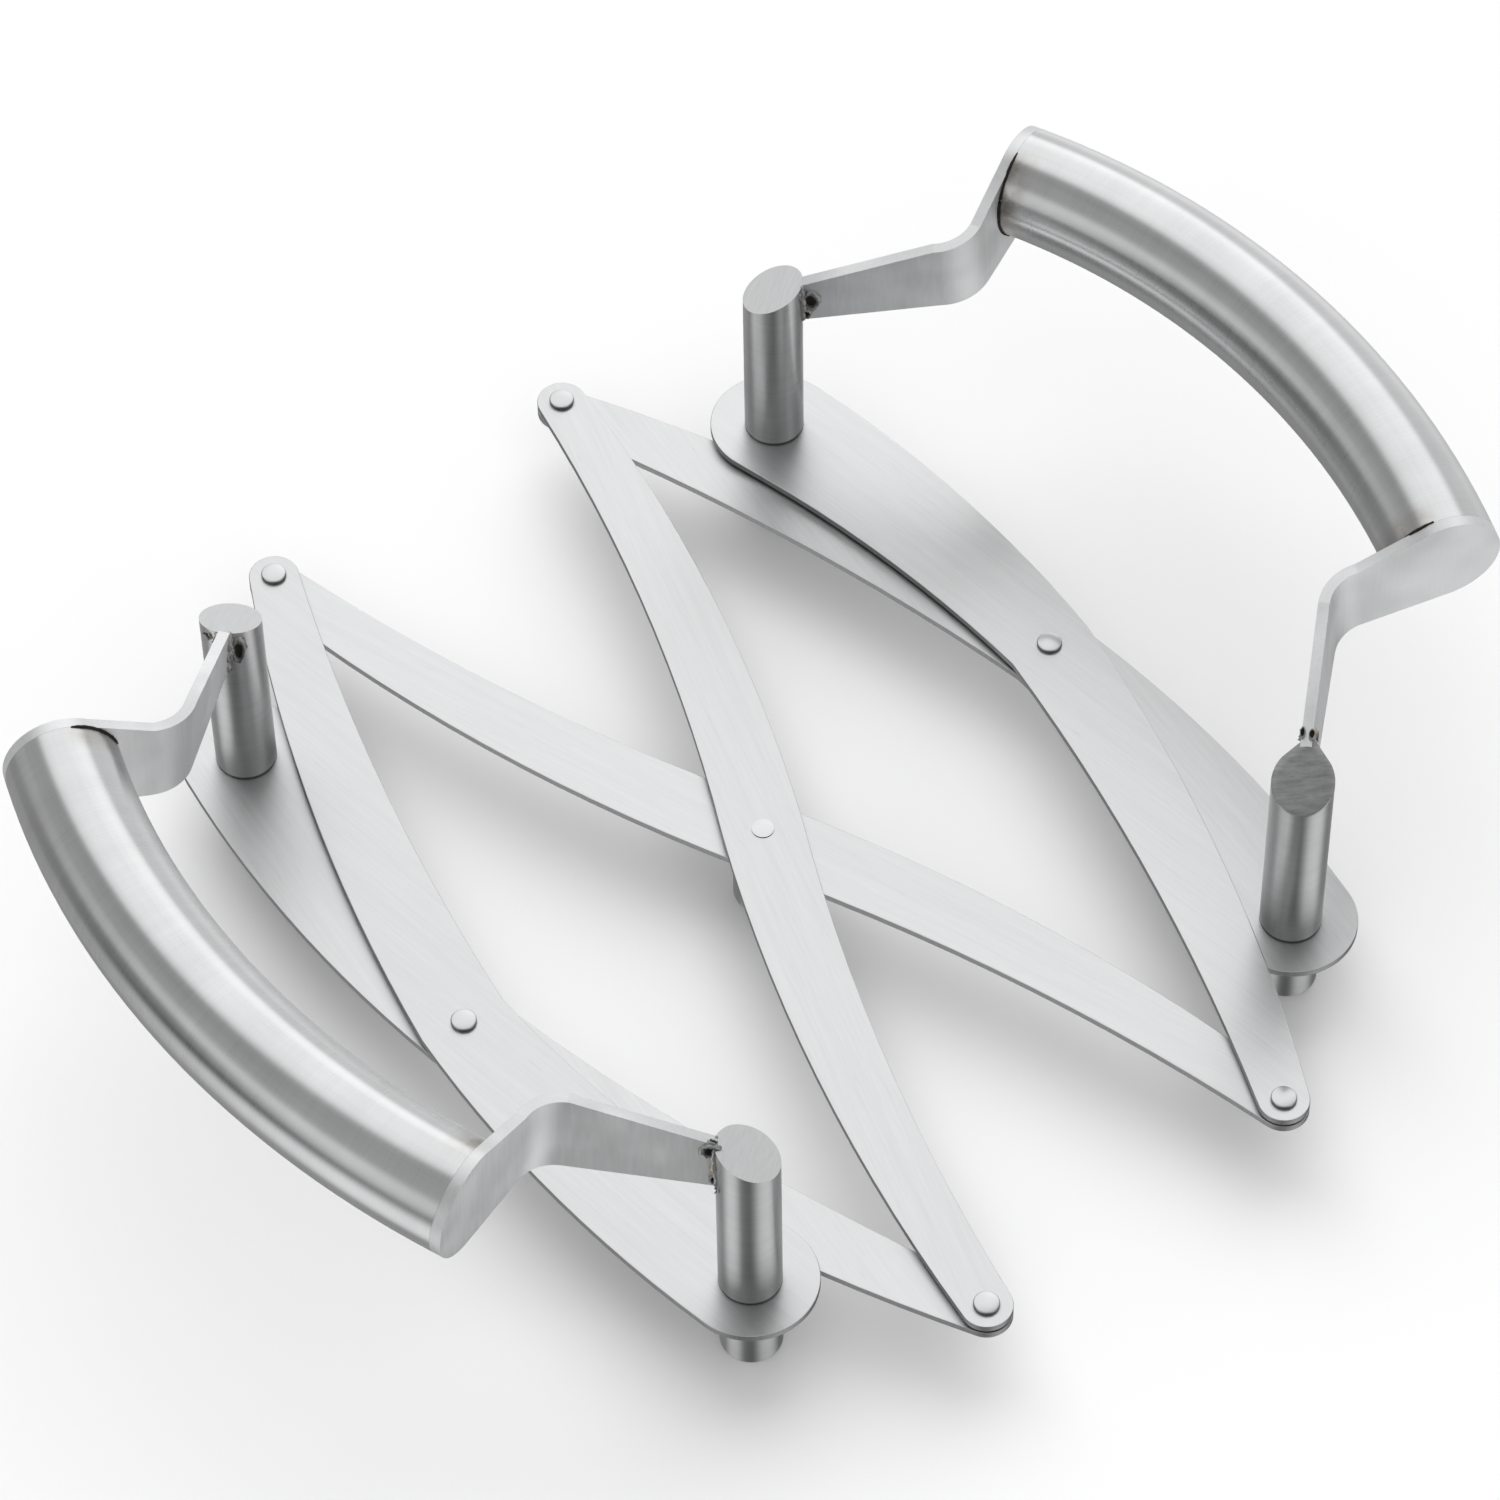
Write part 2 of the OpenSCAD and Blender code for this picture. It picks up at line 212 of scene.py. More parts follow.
# ---------------------------------------------------------------- materials
def arm_steel(name, angle, tone):
    """Sheet with grain along the arm, and upright edges darker: partly their sheared finish,
    partly painted shade.
    """
    m, t = new_material(name)
    co = t.coords("Object")
    along = t.turned(co, (0, 0, 0), (0, 0, angle))
    fine = t.grain(along, (70, 1700, 300), 3.0, 0.6)
    broad = t.grain(along, (12, 420, 0), 2.0, 0.5)
    cloud = t.noise(co, 38.0, 3.0, 0.55)
    speck = t.noise(co, 1500.0, 1.0, 0.5)
    scuff = t.ramp(t.grain(along, (160, 1500, 100), 2.0, 0.5), 0.66, 0.80)
    score = t.grain(along, (2200, 2200, 160), 2.0, 0.6)
    flat = t.ramp(t.flatness(), 0.35, 0.8)
    face_tone = t.weigh(tone - 0.09, (fine, 0.10), (broad, 0.05), (cloud, 0.05), (scuff, -0.05))
    # painted shade, partly: the upright edges take a much darker tone than the faces, beside their
    # own sheared finish
    sheared_edge_and_shade_tone = t.weigh(tone * 0.45, (score, 0.16))
    rough = t.mix(flat, t.weigh(0.36, (score, 0.15)), t.weigh(0.26, (fine, 0.10), (cloud, 0.08)))
    height = t.mix(flat, t.times(score, 2.0),
                   t.weigh(0.0, (fine, 1.0), (broad, 1.2), (speck, 0.25)))
    across = t.join(-math.sin(angle), math.cos(angle), 0.0)
    finish_steel(t, t.mix(flat, sheared_edge_and_shade_tone, face_tone), rough, height, depth=0.000007,
                 aniso=0.55, tangent=t.in_world(across))
    return m


# end faces of turned bars: tone, coarseness from 0 to 1, direction of the grinding lines
GROUND_TOP = (0.60, 0.2, 0.6)
COARSE_TOP = (0.34, 1.0, -0.66)
FOOT_END = (0.40, 0.2, 0.3)
# painted shade: the dark line where a bar meets the part below it, and the painted shade that
# fades out above it
SHADE_LINE_LOW, SHADE_LINE_HIGH = 0.0001, 0.0007
SHADE_HEIGHT = 0.022


def turned_steel(name, centre, tone, end, base_z):
    """Bar standing on base_z, with fine turning lines round it, a ground end face and painted
    shade low on its side.
    """
    m, t = new_material(name)
    end_tone, coarse, end_angle = end
    co = t.coords("Object")
    local = t.vec("SUBTRACT", co, (centre[0], centre[1], 0.0))
    z = t.split(local)[2]
    rings = t.grain(local, (60, 60, 2300), 3.0, 0.65)
    bands = t.grain(local, (30, 30, 420), 2.0, 0.5)
    cloud = t.noise(co, 120.0, 3.0, 0.6)
    end_co = t.turned(co, (0, 0, 0), (0, 0, end_angle))
    lines = 2100 if coarse < 0.5 else 1000
    ground = t.grain(end_co, (260, lines, 200), 3.0, 0.65)
    top = t.ramp(t.flatness(), 0.45, 0.75)
    side = t.weigh(tone - 0.11, (rings, 0.14), (bands, 0.08), (cloud, 0.05))
    # painted shade: a dark line where the bar stands, then shade fading out upwards
    side = t.times(side, t.ramp(z, base_z + SHADE_LINE_LOW, base_z + SHADE_LINE_HIGH, 0.12, 1.0))
    side = t.times(side, t.ramp(z, base_z, base_z + SHADE_HEIGHT, 0.78, 1.0))
    face = t.weigh(end_tone - 0.06 - 0.14 * coarse, (ground, 0.10 + 0.34 * coarse))
    rough = t.mix(top, t.weigh(0.30, (rings, 0.10)), t.weigh(0.34 + 0.1 * coarse, (ground, 0.12)))
    height = t.mix(top, t.weigh(0.0, (rings, 1.0), (bands, 0.8)),
                   t.times(ground, 1.0 + 9.0 * coarse))
    finish_steel(t, t.mix(top, side, face), rough, height, depth=0.000005,
                 aniso=0.95, tangent=t.in_world((0, 0, 1.0)))
    return m


# tube axis at its crown, upward tilt of the grip plane, bend radius and half of the angle covered
GRIP_X, GRIP_Z = 0.1278, 0.0753
GRIP_TILT = math.radians(8.7)
GRIP_BEND = 0.169
GRIP_HALF = math.radians(21.3)
TILT_C, TILT_S = math.cos(GRIP_TILT), math.sin(GRIP_TILT)
END_C, END_S = math.cos(GRIP_HALF), math.sin(GRIP_HALF)


def tube_steel(name, side):
    """Bent tube: polishing lines round it, faint streaks along it, heat tint near its ends."""
    m, t = new_material(name)
    co = t.coords("Object")
    if side < 0:
        co = t.vec("MULTIPLY", co, (-1, -1, 1))
    centre = Vector((GRIP_X - GRIP_BEND * TILT_C, 0.0, GRIP_Z - GRIP_BEND * TILT_S))
    lx, ly, lz = t.split(t.turned(co, centre, (0, -GRIP_TILT, 0)))
    bend = t.math("ARCTAN2", ly, lx)
    length = t.times(bend, GRIP_BEND)
    from_centre = t.math("SQRT", t.math("ADD", t.times(lx, lx), t.times(ly, ly)))
    radial = t.math("SUBTRACT", from_centre, GRIP_BEND)
    unbent = t.join(length, radial, lz)
    rings = t.grain(unbent, (2600, 50, 50), 3.0, 0.65)
    wide = t.grain(unbent, (260, 30, 30), 2.0, 0.5)
    streak = t.grain(unbent, (7, 650, 650), 3.0, 0.6)
    cloud = t.noise(co, 70.0, 3.0, 0.6)
    to_end = t.math("SUBTRACT", GRIP_BEND * GRIP_HALF, t.math("ABSOLUTE", length))
    near_end = t.ramp(to_end, 0.007, 0.0)
    inner = t.ramp(radial, 0.002, -0.006)
    patchy = t.ramp(t.noise(co, 260.0, 3.0, 0.6), 0.35, 0.75, 0.3, 1.0)
    burnt = t.times(t.times(near_end, inner), patchy)
    tone = t.weigh(0.38, (rings, 0.11), (wide, 0.06), (streak, 0.14), (cloud, 0.08))
    tone = t.times(tone, t.weigh(1.0, (burnt, -0.65)))
    rough = t.weigh(0.21, (rings, 0.08), (streak, 0.08))
    height = t.weigh(0.0, (rings, 1.0), (wide, 0.6), (streak, 1.2))
    # direction along the tube
    way_x = t.times(t.math("SINE", bend), -1.0)
    way_y = t.math("COSINE", bend)
    sign = -1.0 if side < 0 else 1.0
    tangent = t.join(t.times(way_x, TILT_C * sign), t.times(way_y, sign), t.times(way_x, TILT_S))
    finish_steel(t, tone, rough, height, depth=0.000004, aniso=0.9,
                 tangent=t.in_world(tangent), warm=burnt)
    return m


def strip_steel(name, tone, sx, sy):
    """Flat bracket strip with grain across its width, and a rim polished like the tube."""
    m, t = new_material(name)
    co, nor = t.coords("Object"), t.coords("Normal")
    fine = t.grain(co, (1300, 1300, 50), 3.0, 0.6)
    cloud = t.noise(co, 90.0, 3.0, 0.6)
    patch = t.ramp(t.noise(co, 45.0, 2.0, 0.5), 0.40, 0.64)
    edge = t.ramp(t.flatness(), 0.5, 0.85)
    level = t.weigh(tone - 0.20, (fine, 0.16), (cloud, 0.10), (patch, 0.12), (edge, -0.12))
    rough = t.weigh(0.48, (fine, 0.14))
    height = t.weigh(0.0, (fine, 1.0), (cloud, 0.8))
    # its flat sides face more or less along the tube and have level grain; the lines on its rim
    # and edges run along the tube
    axis = (-END_S * TILT_C * sx, END_C * sy, -END_S * TILT_S)
    facing = t.math("ABSOLUTE", t.vec("DOT_PRODUCT", nor, axis))
    pick = t.node("ShaderNodeMix", data_type="VECTOR")
    t.put(pick.inputs[0], t.math("GREATER_THAN", facing, 0.3))
    t.put(pick.inputs[4], axis)
    t.put(pick.inputs[5], t.vec("CROSS_PRODUCT", nor, (0, 0, 1)))
    finish_steel(t, level, rough, height, depth=0.000005, aniso=0.5,
                 tangent=t.in_world(pick.outputs[1]))
    return m


def rivet_steel(name, tone):
    """Plain satin head, with painted shade darkening its upright side."""
    m, t = new_material(name)
    co = t.coords("Object")
    fine = t.noise(co, 900.0, 3.0, 0.6)
    broad = t.noise(co, 260.0, 2.0, 0.5)
    level = t.weigh(tone - 0.05, (fine, 0.05), (broad, 0.05))
    # painted shade: the upright side of the head is darkened
    level = t.times(level, t.ramp(t.flatness(), 0.25, 0.8, 0.38, 1.0))
    finish_steel(t, level, t.weigh(0.24, (fine, 0.14)), fine, depth=0.000006)
    return m


def weld_steel():
    """Rough weld metal with painted shade in its pits, and a faint heat tint."""
    m, t = new_material("weld_steel")
    co = t.coords("Object")
    pit_shade = t.node("ShaderNodeAttribute", attribute_name="pit_shade").outputs["Fac"]
    lumps = t.noise(co, 900.0, 4.0, 0.65)
    broad = t.noise(co, 320.0, 2.0, 0.5)
    tone = t.weigh(0.24, (lumps, 0.22), (broad, 0.12))
    # painted shade: the bowls of the blow holes are darkened by the attribute the crater gives
    # their vertices
    tone = t.times(tone, t.weigh(1.0, (pit_shade, -0.93)))
    finish_steel(t, tone, t.weigh(0.32, (lumps, 0.3)), t.math("ADD", lumps, broad),
                 depth=0.00006, warm=t.ramp(broad, 0.45, 0.7))
    return m


def gap_shadow_steel():
    """Near-black painted shadow for the line where tube and strip only touch."""
    m, t = new_material("gap_shadow_steel")
    lumps = t.noise(t.coords("Object"), 700.0, 3.0, 0.6)
    finish_steel(t, t.weigh(0.015, (lumps, 0.06)), t.weigh(0.5, (lumps, 0.3)), lumps,
                 depth=0.00004, warm=lumps)
    return m


def paint(node, material):
    """Gives every slot of a CAD node the material."""
    o = NODES[node]
    if not o.data.materials:
        o.data.materials.append(material)
    for s in o.material_slots:
        s.material = material


# ---------------------------------------------------------------- edges
def clean_group():
    """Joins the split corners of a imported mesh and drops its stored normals."""
    g = bpy.data.node_groups.new("clean", "GeometryNodeTree")
    g.interface.new_socket("Geometry", in_out="INPUT", socket_type="NodeSocketGeometry")
    g.interface.new_socket("Geometry", in_out="OUTPUT", socket_type="NodeSocketGeometry")
    drop = g.nodes.new("GeometryNodeRemoveAttribute")
    drop.inputs["Name"].default_value = "custom_normal"
    weld = g.nodes.new("GeometryNodeMergeByDistance")
    weld.inputs["Distance"].default_value = 2e-6
    chain = [g.nodes.new("NodeGroupInput"), drop, weld,
             g.nodes.new("GeometryNodeSetShadeSmooth"), g.nodes.new("NodeGroupOutput")]
    for a, b in zip(chain, chain[1:]):
        g.links.new(a.outputs[0], b.inputs[0])
    return g


CLEAN = clean_group()
# below this angle the strips of facets on a flat sheet are joined into one face
FLAT_ANGLE = math.radians(0.3)
# above this angle an edge is rounded
SHARP_ANGLE = math.radians(32)


def soften(o, width, segments=2, flats=False):
    """Rounds the sharp edges of a CAD node by width, after joining its flat faces if asked."""
    m = o.modifiers.new("clean", "NODES")
    m.node_group = CLEAN
    if flats:
        d = o.modifiers.new("flats", "DECIMATE")
        d.decimate_type = "DISSOLVE"
        d.angle_limit = FLAT_ANGLE
    b = o.modifiers.new("edges", "BEVEL")
    b.width = width
    b.segments = segments
    b.limit_method = "ANGLE"
    b.angle_limit = SHARP_ANGLE
    b.use_clamp_overlap = True
    b.harden_normals = True


# ---------------------------------------------------------------- weld shapes
def new_piece(name, bm, material, body):
    """Smooth object made from bm, riding the body named in body."""
    for f in bm.faces:
        f.smooth = True
    bmesh.ops.recalc_face_normals(bm, faces=bm.faces)
    mesh = bpy.data.meshes.new(name)
    bm.to_mesh(mesh)
    bm.free()
    mesh.materials.append(material)
    o = bpy.data.objects.new(name, mesh)
    scene.collection.objects.link(o)
    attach(o, body["body"])
    return o


def lump(p, size, amount):
    """Repeatable unevenness between -amount and amount."""
    return noise.noise(p / size) * amount


def join_rings(bm, rings):
    """Faces between each ring of vertices and the next."""
    for r1, r2 in zip(rings, rings[1:]):
        n = len(r1)
        for k in range(n):
            bm.faces.new((r1[k], r1[(k + 1) % n], r2[(k + 1) % n], r2[k]))


def close_ring(bm, ring, tip):
    """Fan of faces between a ring and one vertex."""
    n = len(ring)
    for k in range(n):
        bm.faces.new((ring[k], ring[(k + 1) % n], tip))


# any direction that no bead runs along, to start its cross sections from
BEAD_START = Vector((0.31, 0.17, 0.93))
BEAD_SIDES = 12
# size of the small and the large lumps on a bead, and how much its ends narrow
SMALL_LUMP, LARGE_LUMP = 0.0009, 0.0024
END_TAPER = 0.55


def bead(name, points, radius, rough, material, body):
    """Lumpy closed bead along a row of points; rough is how far its lumps go in or out."""
    bm = bmesh.new()
    rings = []
    n = len(points)
    for i, p in enumerate(points):
        ahead = (points[min(i + 1, n - 1)] - points[max(i - 1, 0)]).normalized()
        a = ahead.cross(BEAD_START).normalized()
        b = ahead.cross(a)
        u = i / (n - 1)
        even = radius * (1 - (2 * u - 1) ** 6 * END_TAPER)
        ring = []
        for k in range(BEAD_SIDES):
            ang = 2 * math.pi * k / BEAD_SIDES
            d = a * math.cos(ang) + b * math.sin(ang)
            at = p + d * radius
            r = even + lump(at, SMALL_LUMP, rough) + lump(at, LARGE_LUMP, rough)
            ring.append(bm.verts.new(p + d * max(r, radius * 0.3)))
        rings.append(ring)
    join_rings(bm, rings)
    for ring, p, way in ((rings[0], points[0], points[0] - points[1]),
                         (rings[-1], points[-1], points[-1] - points[-2])):
        close_ring(bm, ring, bm.verts.new(p + way.normalized() * radius * 0.5))
    return new_piece(name, bm, material, body)


# rings of a blow hole: share of its radius, lift as a share of RIM_HEIGHT, painted shade
CRATER_RINGS = (
    (0.25, 0.22, 1.0),
    (0.48, 0.3, 1.0),
    (0.62, 0.7, 0.6),
    (0.75, 1.0, 0.05),
    (0.88, 0.6, 0.0),
    (1.0, -0.2, 0.0),
    (0.9, -0.8, 0.0),
)
HUB_LIFT = 0.22
RIM_HEIGHT = 0.0006
CRATER_DEPTH = 0.0005
CRATER_SPOKES = 20


def crater(name, centre, out, up, width, height, material, body):
    """Blow hole: a lumpy rim round a bowl darkened with painted shade, let into the surface it
    sits on.
    """
    bm = bmesh.new()
    # painted shade: how dark each vertex is painted, for the weld material
    layer = bm.verts.layers.float.new("pit_shade")
    side = out.cross(up).normalized()
    hub = bm.verts.new(centre + out * HUB_LIFT * RIM_HEIGHT)
    hub[layer] = 1.0
    rings = []
    for share, lift, pit_shade in CRATER_RINGS:
        ring = []
        for k in range(CRATER_SPOKES):
            ang = 2 * math.pi * k / CRATER_SPOKES
            flat = side * (math.cos(ang) * width * share) + up * (math.sin(ang) * height * share)
            wobble = 1 + lump(centre + flat, 0.0011, 0.5) * (0.4 if share < 0.95 else 1)
            h = lift * RIM_HEIGHT
            if 0.5 < share < 0.95 and lift > 0:
                h *= 1 + lump(centre + flat * 1.7, 0.0008, 1.1)
            v = bm.verts.new(centre + flat * wobble + out * h)
            v[layer] = pit_shade
            ring.append(v)
        rings.append(ring)
    close_ring(bm, rings[0], hub)
    join_rings(bm, rings)
    close_ring(bm, rings[-1], bm.verts.new(centre - out * CRATER_DEPTH))
    return new_piece(name, bm, material, body)


# ---------------------------------------------------------------- stage
def make_floor():
    """Pale matt floor at height 0, left out of the metal's reflections."""
    bpy.ops.mesh.primitive_circle_add(vertices=96, radius=14, fill_type="NGON", location=(0, 0, 0))
    o = bpy.context.active_object
    o.name = "floor"
    m, t = new_material("floor")
    soft = t.noise(t.coords("Object"), 3.0, 2.0, 0.5)
    p = t.node("ShaderNodeBsdfPrincipled")
    t.put(p.inputs["Base Color"], t.grey(t.weigh(0.86, (soft, 0.01))))
    p.inputs["Roughness"].default_value = 0.9
    p.inputs["Specular IOR Level"].default_value = 0.1
    out = t.node("ShaderNodeOutputMaterial")
    t.put(out.inputs["Surface"], p.outputs[0])
    o.data.materials.append(m)
    o.visible_glossy = False


def from_angles(azimuth, elevation):
    """Direction with this azimuth and elevation in degrees."""
    a, e = math.radians(azimuth), math.radians(elevation)
    return (math.cos(a) * math.cos(e), math.sin(a) * math.cos(e), math.sin(e))


# bright and dark panels of the studio, in degrees but for the last number:
# azimuth and elevation of the middle, inner and outer radius, brightness added
SKY = [
    (56.5, 51.0, 30, 40, 0.98),
    (29.0, 8.0, 14, 42, 0.50),
    (149.0, 18.0, 4, 15, 0.34),
    (151.0, -5.0, 7, 19, -0.42),
    (132.0, 48.0, 4, 14, -0.16),
    (-3.0, -53.0, 8, 27, -0.30),
    (176.0, -36.0, 6, 28, 0.95),
    (-76.0, -46.0, 10, 34, 0.72),
    (-128.0, -40.0, 10, 30, -0.34),
    (31.0, -30.0, 8, 36, 0.45),
    (176.0, 14.0, 5, 22, 0.75),
    (-72.0, 14.0, 5, 22, 0.85),
    (-124.0, 10.0, 8, 28, -0.30),
    (60.0, -50.0, 8, 34, -0.12),
]


def make_world():
    """Studio seen in the metal: a grey room with soft bright and dark panels."""
    w = bpy.data.worlds.new("studio")
    w.use_nodes = True
    scene.world = w
    t = Tree(w.node_tree)
    d = t.coords("Generated")
    total = t.ramp(t.split(d)[2], -0.30, 0.40, 0.42, 0.50)
    for azimuth, elevation, inner, outer, level in SKY:
        dot = t.vec("DOT_PRODUCT", d, from_angles(azimuth, elevation))
        panel = t.ramp(dot, math.cos(math.radians(outer)), math.cos(math.radians(inner)))
        total = t.weigh(total, (panel, level))
    bg = t.node("ShaderNodeBackground")
    t.put(bg.inputs["Color"], t.grey(total))
    bg.inputs["Strength"].default_value = 1.0
    out = t.node("ShaderNodeOutputWorld")
    t.put(out.inputs["Surface"], bg.outputs[0])


def area(name, location, size, power, target=(0, 0, 0.03)):
    """Large soft light for the floor; the metal mirrors the studio instead of it."""
    data = bpy.data.lights.new(name, "AREA")
    data.shape = "SQUARE"
    data.size = size
    data.energy = power
    o = bpy.data.objects.new(name, data)
    scene.collection.objects.link(o)
    o.visible_glossy = False
    o.location = location
    o.rotation_mode = "QUATERNION"
    o.rotation_quaternion = (Vector(location) - Vector(target)).to_track_quat("Z", "Y")


make_camera()
make_world()
make_floor()
area("key", (0.5, 0.9, 1.9), size=2.4, power=15)
area("fill", (-0.9, -1.3, 2.2), size=2.8, power=22)
scene.view_settings.view_transform = "Standard"

# ---------------------------------------------------------------- CAD nodes
# slope of the centre arms, from one rivet to the next: millimetres along y and along x
ARM_SLOPE = math.atan2(111.21, 36.349)
# how far the grain of an end arm is turned from the line between its rivets, in radians
END_TURN = 0.2
# the arms' tones differ a little as painted shade: an arm that gets less light takes a darker tone
for node, angle, tone in (
    ("centre_arm_upper", ARM_SLOPE, 0.53),
    ("centre_arm_lower", math.pi - ARM_SLOPE, 0.55),
    ("end_arm_left_upper", math.pi - ARM_SLOPE - END_TURN, 0.53),
    ("end_arm_left_lower", ARM_SLOPE + END_TURN, 0.54),
    ("end_arm_right_upper", math.pi - ARM_SLOPE - END_TURN, 0.55),
    ("end_arm_right_lower", ARM_SLOPE + END_TURN, 0.54),
):
    paint(node, arm_steel(node + "_steel", angle, tone))
    soften(NODES[node], width=0.00018, flats=True)

for node in ("rivet_back_left", "rivet_back_right", "rivet_front_left", "rivet_front_right",
             "rivet_elbow_left", "rivet_elbow_right"):
    paint(node, rivet_steel(node + "_steel", 0.53))
    soften(NODES[node], width=0.00025, segments=3)
paint("centre_pin", rivet_steel("centre_pin_steel", 0.57))
soften(NODES["centre_pin"], width=0.0001)

POST_X, POST_Y = 0.0664, 0.0793
# top of the end arm that each post stands on
LOW_TOP, UP_TOP = 0.0185, 0.0206
# tag, side of the handle, signs of x and y, height of the arm's top, post's end face
CORNERS = (
    ("left_back", "left", -1, 1, LOW_TOP, GROUND_TOP),
    ("left_front", "left", -1, -1, UP_TOP, GROUND_TOP),
    ("right_back", "right", 1, 1, UP_TOP, GROUND_TOP),
    ("right_front", "right", 1, -1, LOW_TOP, COARSE_TOP),
)
# the painted dark line at the bottom of a foot lies below the floor, where it does not show
FOOT_BASE = -0.001


def finish_foot(node, centre):
    """Material and rounded edges of one foot."""
    paint(node, turned_steel(node + "_steel", centre, 0.54, FOOT_END, FOOT_BASE))
    soften(NODES[node], width=0.0002)


for tag, side, sx, sy, arm_top, end in CORNERS:
    centre = (sx * POST_X, sy * POST_Y)
    paint("post_" + tag, turned_steel("post_" + tag + "_steel", centre, 0.56, end, arm_top))
    soften(NODES["post_" + tag], width=0.00025)
    finish_foot("foot_" + tag, centre)
    paint("bracket_" + tag, strip_steel("bracket_" + tag + "_steel", 0.84, sx, sy))
    soften(NODES["bracket_" + tag], width=0.00022)
finish_foot("centre_foot", (0, 0))
for side, name in ((-1, "grip_left"), (1, "grip_right")):
    paint(name, tube_steel(name + "_steel", side))
    soften(NODES[name], width=0.00004)

# ---------------------------------------------------------------- welds, and painted shadows in open joints
# Places are worked out at the right back post and mirrored to the other three.
WELD, GAP_SHADOW = weld_steel(), gap_shadow_steel()
STRIP_T = 0.0022
POST_R = 0.006
POST_TOP, POST_SLOPE = 0.06125, math.tan(math.radians(26))
# the post end of a strip, inwards from the tube's crown in the grip plane
POST_IN = 0.0632
# directions along the strip from the post and square to it, seen in the grip plane
LEG = Vector((0.7643, -0.6447, 0.0))
ACROSS = Vector((0.6447, 0.7643, 0.0))
# edges of the strip against the grip plane at the post, and the rise of the upper one
LOW_AT_POST, TOP_AT_POST, TOP_SLOPE = -0.0138, -0.004, 0.306
UPWARD = Vector((0, 0, 1))


def from_grip(u, v, level):
    """Point in the tilted grip plane: outwards from the tube's crown, along y, and above it."""
    return Vector((GRIP_X + u * TILT_C - level * TILT_S, v, GRIP_Z + u * TILT_S + level * TILT_C))


def leg_point(along, aside, level):
    """Point of the strip: along it from the post, beside its middle, above the grip plane."""
    return from_grip(-POST_IN + LEG.x * along + ACROSS.x * aside,
                     POST_Y + LEG.y * along + ACROSS.y * aside, level)


def top_edge(along, aside):
    """Point on the upper edge of the strip."""
    return leg_point(along, aside, TOP_AT_POST + TOP_SLOPE * along)


def post_skin(aside, level):
    """Distance along the strip at which it leaves the post."""
    a = leg_point(0.0, aside, level) - Vector((POST_X, POST_Y, 0))
    d = leg_point(1.0, aside, level) - leg_point(0.0, aside, level)
    qa = d.x * d.x + d.y * d.y
    qb = a.x * d.x + a.y * d.y
    qc = a.x * a.x + a.y * a.y - POST_R * POST_R
    return (-qb + math.sqrt(qb * qb - qa * qc)) / qa


def mirrored(p, sx, sy):
    """The point or direction p moved from the right back post to another one."""
    return Vector((p.x * sx, p.y * sy, p.z))


def strip_side(sx, sy):
    """Direction square to the strip's flat side."""
    return Vector((ACROSS.x * TILT_C * sx, ACROSS.y * sy, ACROSS.x * TILT_S)).normalized()


# side of the strip, distance from the post, level in the grip plane, half width, half height
PITS = {
    "right_back": ((-1, 0.0017, -0.0070, 0.0021, 0.0031), (-1, 0.0008, -0.0112, 0.0011, 0.0013),
                   (1, 0.0010, -0.0080, 0.0013, 0.0018)),
    "left_front": ((1, 0.0008, -0.0036, 0.0021, 0.0019), (1, 0.0002, -0.0112, 0.0012, 0.0013),
                   (-1, 0.0008, -0.0080, 0.0014, 0.0020)),
    "left_back": ((-1, 0.0005, -0.0046, 0.0013, 0.0017), (-1, 0.0005, -0.0083, 0.0014, 0.0021),
                  (-1, 0.0004, -0.0118, 0.0011, 0.0014), (1, 0.0006, -0.0040, 0.0013, 0.0016)),
    "right_front": ((-1, 0.0034, -0.0032, 0.0012, 0.0015), (1, 0.0034, -0.0034, 0.0012, 0.0017),
                    (1, 0.0010, -0.0090, 0.0013, 0.0020)),
}
# distance along the strip, beside its middle, half width, half length
EDGE_PITS = {
    "right_front": ((0.0089, 0.0009, 0.0007, 0.0013), (0.0091, -0.0009, 0.0006, 0.0013)),
    "left_front": ((0.0069, 0.0007, 0.0006, 0.0012),),
}
# turn round the post away from the strip in degrees, height, half width, half height
SKIN_PITS = {
    "left_back": ((-27, 0.0588, 0.0015, 0.0042), (30, 0.0620, 0.0013, 0.0011)),
    "left_front": ((24, 0.0536, 0.0010, 0.0013),),
    "right_back": ((-22, 0.0620, 0.0009, 0.0010),),
}
# first and last degree of the painted shadow in the open joint round the tube end: 90 is its top,
# 180 its inner side
SEAMS = {
    "left_back": (96, 156),
    "left_front": (168, 234),
    "right_back": (96, 234),
    "right_front": (96, 234),
}
# how far the middle of each kind of weld mark lies above (+) or below (-) its surface
BEAD_OFF, PIT_OFF, EDGE_OFF, SKIN_OFF = 0.0001, 0.00004, -0.00004, -0.0001
# side of the strip, last letter of the name, height of the bead
BEAD_FACES = ((-1, "a", 0.0108), (1, "b", 0.0102))
BEAD_RADIUS, BEAD_ROUGH = 0.00075, 0.00042
BEAD_STEPS = 20
# size and reach of the bead's wander along the strip
WANDER_SIZE, WANDER = 0.0016, 0.0003
BEAD_LOW = LOW_AT_POST + 0.0007
SEAM_RADIUS, SEAM_ROUGH = 0.00034, 0.00011
SEAM_STEPS = 32
# path of the open joint: distance from the tube's axis and inwards from the tube's end
SEAM_OUT, SEAM_IN = 0.01105, 0.00012


